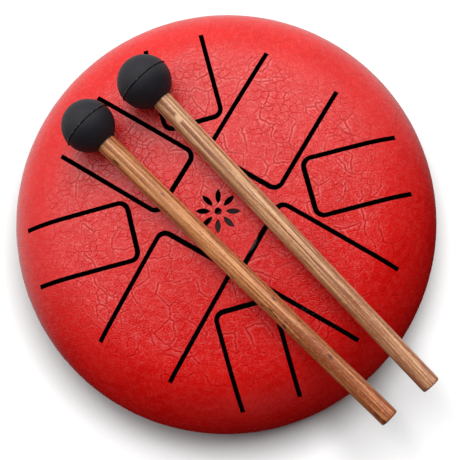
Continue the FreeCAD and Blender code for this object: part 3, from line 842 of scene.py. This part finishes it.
def half_shell(name, node, crackle, upside_down, step, row_gap, materials):
    """One half of the drum as a dense mesh: creased outer face, slot walls, rim and dark inside."""
    matrix = shell_matrix(upside_down)
    loops = opening_loops(node, matrix)
    border = ring(OUTER) + [OUTER.unroll(p) for loop in loops for p in loop]
    rows = fill_points(border, crackle.rows(), row_gap)
    grid = fill_points(border + rows, honeycomb(step, OUTER.end), 0.62 * step)
    flat, triangles, outer_borders = triangulate(OUTER, loops, rows + grid)
    rim = set(outer_borders[0])
    marks = [crackle.marks(point) for point in flat]
    points = [OUTER.place(p, 0.0 if n in rim else crackle.sink(p, *marks[n])) for n, p in enumerate(flat)]
    faces = [face_up(flat, t) for t in triangles]
    outer_faces = len(faces)
    coarse = fill_points(border, honeycomb(4 * MM, INNER.end), 1.5 * MM)
    inner_flat, inner_triangles, inner_borders = triangulate(INNER, loops, coarse)
    shift = len(points)
    points += [INNER.place(p) for p in inner_flat]
    faces += [tuple(i + shift for i in reversed(face_up(inner_flat, t))) for t in inner_triangles]
    for outer, inner in zip(outer_borders[1:], inner_borders[1:]):
        faces += strip(outer, [i + shift for i in inner])
    lining_end = len(faces)
    bevel = list(range(len(points), len(points) + RIM_STEPS))
    points += [p.normalized().to_3d() * (DRUM_RADIUS - SEAM_BEVEL) for p in ring(OUTER)]
    faces += strip(outer_borders[0], bevel) + strip(bevel, [i + shift for i in inner_borders[0]])
    piece = new_piece(name, [matrix @ p for p in points], faces, "drum", [node], materials)
    mesh = piece.data
    spare = len(points) - len(flat)
    store(mesh, "crease", "FLOAT", [groove for groove, _ in marks] + [0.0] * spare)
    store(mesh, "lip", "FLOAT", [lip for _, lip in marks] + [0.0] * spare)
    spread = [(p.x / MM, p.y / MM, 0.0) for p in flat + inner_flat]
    store(mesh, "flat", "FLOAT_VECTOR", spread + [(0.0, 0.0, 0.0)] * (len(points) - len(spread)))
    for number, polygon in enumerate(mesh.polygons):
        polygon.material_index = 1 if outer_faces <= number < lining_end else 0
    sharpen(mesh, math.radians(50))
    print(name, "openings", len(loops), "faces", len(mesh.polygons))
    return piece


def strip(first, second):
    """Quads between two closed rows of the same length."""
    count = len(first)
    return [(first[k], first[(k + 1) % count], second[(k + 1) % count], second[k]) for k in range(count)]


# ------------------------------------------------------------------ mallets

def stick_axis(number):
    """The two end centres of a mallet's stick and its radius at each, from the CAD mesh."""
    points = [v.co.copy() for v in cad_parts[f"mallet_{number}_stick"].data.vertices]
    head_low, head_high = box_of(f"mallet_{number}_head")
    middle = (head_low + head_high) / 2
    far = max(points, key=lambda p: (p - middle).length)
    way = (far - middle).normalized()
    for _ in range(3):
        level, rise = across(way)
        ends = []
        along = [p.dot(way) for p in points]
        for limit, sign in ((min(along), 1), (max(along), -1)):
            cap = [p for p, a in zip(points, along) if (a - limit) * sign < 3 * MM]
            sides = [[p.dot(axis) for p in cap] for axis in (level, rise)]
            centre = [(min(side) + max(side)) / 2 for side in sides]
            radius = sum(max(side) - min(side) for side in sides) / 4
            ends.append((way * limit + level * centre[0] + rise * centre[1], radius))
        way = (ends[1][0] - ends[0][0]).normalized()
    return ends


def across(way):
    """Two directions square to a mallet's axis: the first is level, the second points up."""
    level = UP.cross(way).normalized()
    return level, way.cross(level)


def lathe(start, way, profile, columns, wobble):
    """Turn a profile of (radius, along) round an axis; wobble(angle, along) changes the radius."""
    level, rise = across(way)
    points = []
    grain = []
    for radius, along in profile:
        for column in range(columns):
            angle = 2 * math.pi * column / columns
            out = radius + wobble(angle, along, radius)
            u, v = out * math.sin(angle), out * math.cos(angle)
            points.append(start + way * along + level * u + rise * v)
            grain.append((u / MM, v / MM, along / MM))
    faces = []
    for row in range(len(profile) - 1):
        for column in range(columns):
            onward = (column + 1) % columns
            faces.append((row * columns + onward, row * columns + column,
                          (row + 1) * columns + column, (row + 1) * columns + onward))
    faces.append(tuple(range(columns)))
    faces.append(tuple(reversed(range((len(profile) - 1) * columns, len(profile) * columns))))
    return points, faces, grain


STICK_COLUMNS = 84
HEAD_COLUMNS = 96
END_EASE = 0.7 * MM


def streak_and_shade_at(streak_and_shade_table, angle, along, radius, shift):
    """How dark (over 0) or pale (under 0) the wood is at a place on the stick: grain streaks, with painted
    shade on the flanks and a painted highlight near the top.
    """
    total = 0.0
    for first, last, width, begin, end, strength in streak_and_shade_table:
        part = (along - begin) / (end - begin)
        if not -0.1 < part < 1.1:
            continue
        turn = first + (last - first) * min(1.0, max(0.0, part))
        turn += 5 * noise.noise(Vector((along / 17, first, shift)))
        aside = math.radians((angle - turn + 180) % 360 - 180) * radius
        taper = min(1.0, 10 * (0.1 + part), 10 * (1.1 - part))
        patchy = 0.85 + 0.5 * noise.noise(Vector((along / 7, first, shift + 5)))
        total += strength * taper * patchy * hill(aside, width)
    return max(-1.0, min(1.0, total))


def small_knots(seed, count, middle, reach):
    """Small dark knots scattered at random over one stretch of a stick."""
    draw = random.Random(seed)
    return [(middle + draw.uniform(-reach, reach), draw.uniform(-55, 55), draw.uniform(0.6, 1.3),
             draw.uniform(0.3, 0.4), draw.uniform(0.7, 1.2)) for _ in range(count)]


def stick_piece(number, material, knots, streak_and_shade_table):
    """A hand-turned stick: nearly round, with eased ends, growth marks and a few small knots.

    Each knot is (distance from the head's middle, angle from the top, length, width, strength),
    in millimetres and degrees; a negative strength is a pale knot. Each streak is (angle where it
    begins, angle where it ends, width, begin, end, strength) and runs along the stick; the broad
    dark streaks on the flanks are painted shade and the pale ones near the top a painted highlight.
    """
    low, high = box_of(f"mallet_{number}_head")
    (start, first_radius), (end, last_radius) = stick_axis(number)
    way = (end - start).normalized()
    length = (end - start).length
    head_at = ((low + high) / 2 - start).dot(way) / MM

    def wobble(angle, along, radius):
        if radius < last_radius * 0.85:
            return 0.0
        at = Vector((math.cos(angle) * 1.3, math.sin(angle) * 1.3, along / MM / 14 + 9 * number))
        fine = Vector((math.cos(angle) * 5, math.sin(angle) * 5, along / MM / 2.5 + 9 * number))
        return (0.07 * noise.noise(at) + 0.022 * noise.noise(fine)) * MM

    count = math.ceil(length / (0.55 * MM))
    profile = [(first_radius, 0.0)]
    for k in range(1, count):
        part = k / count
        profile.append((first_radius + (last_radius - first_radius) * part, part * (length - END_EASE)))
    for k in range(1, 7):
        turn = math.pi / 2 * k / 6
        inward, back = 1 - math.cos(turn), 1 - math.sin(turn)
        profile.append((last_radius - END_EASE * inward, length - END_EASE * back))
    for part in (0.72, 0.55, 0.38, 0.2, 0.06):
        profile.append((last_radius * part, length + 0.05 * MM * (1 - part)))
    points, faces, grain = lathe(start, way, profile, STICK_COLUMNS, wobble)
    piece = new_piece(f"mallet_{number}_stick_turned", points, faces, f"mallet_{number}",
                      [f"mallet_{number}_stick"], [material])
    marks = []
    streaks_with_shade_values = []
    for u, v, along in grain:
        angle = math.degrees(math.atan2(u, v))
        total = 0.0
        for place, turn, size, width, strength in knots:
            aside = (angle - turn + 180) % 360 - 180
            aside = math.radians(aside) * first_radius / MM
            total += strength * hill(math.hypot((along - head_at - place) / size, aside / width), 1.0)
        marks.append(total)
        streaks_with_shade_values.append(streak_and_shade_at(streak_and_shade_table, angle, along - head_at, first_radius / MM, 20.0 * number))
    store(piece.data, "grain", "FLOAT_VECTOR", grain)
    store(piece.data, "knot", "FLOAT", marks)
    store(piece.data, "streaks_with_shade", "FLOAT", streaks_with_shade_values)
    sharpen(piece.data, math.radians(60))
    return piece


def head_piece(number, material):
    """A moulded rubber ball: two halves that meet in a ragged flash, and a collar round the stick."""
    low, high = box_of(f"mallet_{number}_head")
    middle = (low + high) / 2
    radius = (high.x - low.x) / 2
    (start, stick_radius), (end, _) = stick_axis(number)
    way = (end - start).normalized()
    parting = -0.45 * MM
    tip_radius = radius + 0.04 * MM
    back_radius = radius - 0.05 * MM
    draw = random.Random(40 + number)
    shift = draw.uniform(0, 50)

    def wobble(angle, along, size):
        around = Vector((math.cos(angle) * 1.1 + shift, math.sin(angle) * 1.1, along / MM / 9))
        out = 0.06 * noise.noise(around) * MM
        near = hill(along - parting, 0.16 * MM)
        ragged = 0.75 + 0.9 * noise.noise(Vector((math.cos(angle) * 4, math.sin(angle) * 4, shift)))
        return out * min(1.0, size / (3 * MM)) + near * ragged * 0.38 * MM

    profile = []
    limit = math.acos(-parting / tip_radius)
    for k in range(1, 40):
        turn = limit * k / 39
        profile.append((tip_radius * math.sin(turn), -tip_radius * math.cos(turn)))
    profile.append((radius + 0.02 * MM, parting + 0.10 * MM))
    profile.append((radius - 0.16 * MM, parting + 0.22 * MM))
    profile.append((radius - 0.13 * MM, parting + 0.36 * MM))
    collar = stick_radius + 0.75 * MM
    begin = math.acos((parting + 0.6 * MM) / back_radius)
    finish = math.asin(collar / back_radius)
    for k in range(38):
        turn = begin + (finish - begin) * k / 37
        profile.append((back_radius * math.sin(turn), back_radius * math.cos(turn)))
    edge = back_radius * math.cos(finish)
    profile.append((stick_radius + 0.62 * MM, edge + 0.26 * MM))
    profile.append((stick_radius + 0.38 * MM, edge + 0.38 * MM))
    profile.append((stick_radius + 0.14 * MM, edge + 0.32 * MM))
    profile.append((stick_radius + 0.06 * MM, edge + 0.08 * MM))
    profile.append((stick_radius - 0.30 * MM, edge - 0.40 * MM))
    points, faces, grain = lathe(middle, way, profile, HEAD_COLUMNS, wobble)
    piece = new_piece(f"mallet_{number}_head_moulded", points, faces, f"mallet_{number}",
                      [f"mallet_{number}_head"], [material])
    store(piece.data, "seam", "FLOAT", [hill(w * MM - parting - 0.08 * MM, 0.30 * MM) for _, _, w in grain])
    store(piece.data, "tip", "FLOAT", [1.0 if w * MM < parting else 0.0 for _, _, w in grain])
    sharpen(piece.data, math.radians(70))
    return piece


def material_for(nodes, material):
    """Give CAD nodes whose shape is right a better material."""
    for node in nodes:
        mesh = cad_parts[node].data
        mesh.materials.clear()
        mesh.materials.append(material)


add_camera()
add_studio()
ENAMEL = enamel("red_crackle_enamel", True)
LINING = dark_lining()
half_shell("top_shell_skin", "top_shell", Crackle(7), False, 0.95 * MM, 0.27 * MM, [ENAMEL, LINING])
half_shell("bottom_shell_skin", "bottom_shell", Crackle(23), True, 1.3 * MM, 0.34 * MM, [ENAMEL, LINING])
material_for(["seam_weld"], enamel("red_enamel_plain", False))
BLACK = rubber("foot_rubber", (0.012, 0.012, 0.012), (0.022, 0.022, 0.022))
CHARCOAL = rubber("mallet_rubber", (0.0132, 0.0122, 0.0165), (0.0176, 0.0158, 0.0210), True)
ZINC = plated_steel()
for number in range(1, 5):
    material_for([f"foot_{number}"], BLACK)
    material_for([f"foot_{kind}_{number}" for kind in ("washer", "screw", "nut")], ZINC)
WOOD_BROWN = wood("wood_brown", (0.78, 0.350, 0.125), (0.50, 0.155, 0.038), (0.22, 0.060, 0.040),
                  (0.37, 0.088, 0.024), (0.65, 0.40, 1.0, 0.90))
WOOD_TAN = wood("wood_tan", (0.78, 0.455, 0.225), (0.54, 0.205, 0.070), (0.27, 0.100, 0.060),
                (0.58, 0.240, 0.120), (0.55, 0.80, 0.6, 0.5))
KNOTS_BROWN = [(16.0, -44, 1.8, 0.55, 1.0), (35.0, 14, 1.2, 0.5, 0.7), (112.0, 65, 1.4, 0.6, 0.8),
               (112.0, 13, 1.6, 0.7, 0.8), (122.0, -70, 1.2, 0.5, 0.9), (136.0, -46, 1.6, 0.6, 0.9),
               (139.5, -40, 1.5, 0.8, 0.7)] + small_knots(5, 9, 82.0, 15.0)
KNOTS_TAN = ((17.6, -6, 1.5, 0.9, -1.0), (92.0, 25, 2.0, 0.4, 0.5))
# Streaks run along the sticks. The broad dark ones near 50 degrees either side of the top are painted shade
# on the flanks; the pale ones near the top are a painted highlight; the others are grain.
STREAK_AND_SHADE_BROWN = ((50, 50, 1.4, 5, 145, 1.2), (-58, -50, 1.5, 10, 145, 0.9), (12, 8, 0.9, 40, 100, -0.9),
                 (-18, -22, 0.8, 10, 45, -0.6), (-14, -18, 1.5, 95, 145, 0.7), (24, 26, 0.8, 95, 145, -0.6))
STREAK_AND_SHADE_TAN = ((46, 46, 1.3, 5, 145, 1.2), (20, 18, 0.8, 5, 135, -0.9), (-12, 6, 0.68, 8, 100, 1.3),
               (6, 6, 0.5, 100, 145, 0.5), (-20, -8, 0.5, 40, 100, -0.6), (-58, -58, 1.9, 5, 145, 1.0))
stick_piece(1, WOOD_BROWN, KNOTS_BROWN, STREAK_AND_SHADE_BROWN)
stick_piece(2, WOOD_TAN, KNOTS_TAN, STREAK_AND_SHADE_TAN)
head_piece(1, CHARCOAL)
head_piece(2, CHARCOAL)
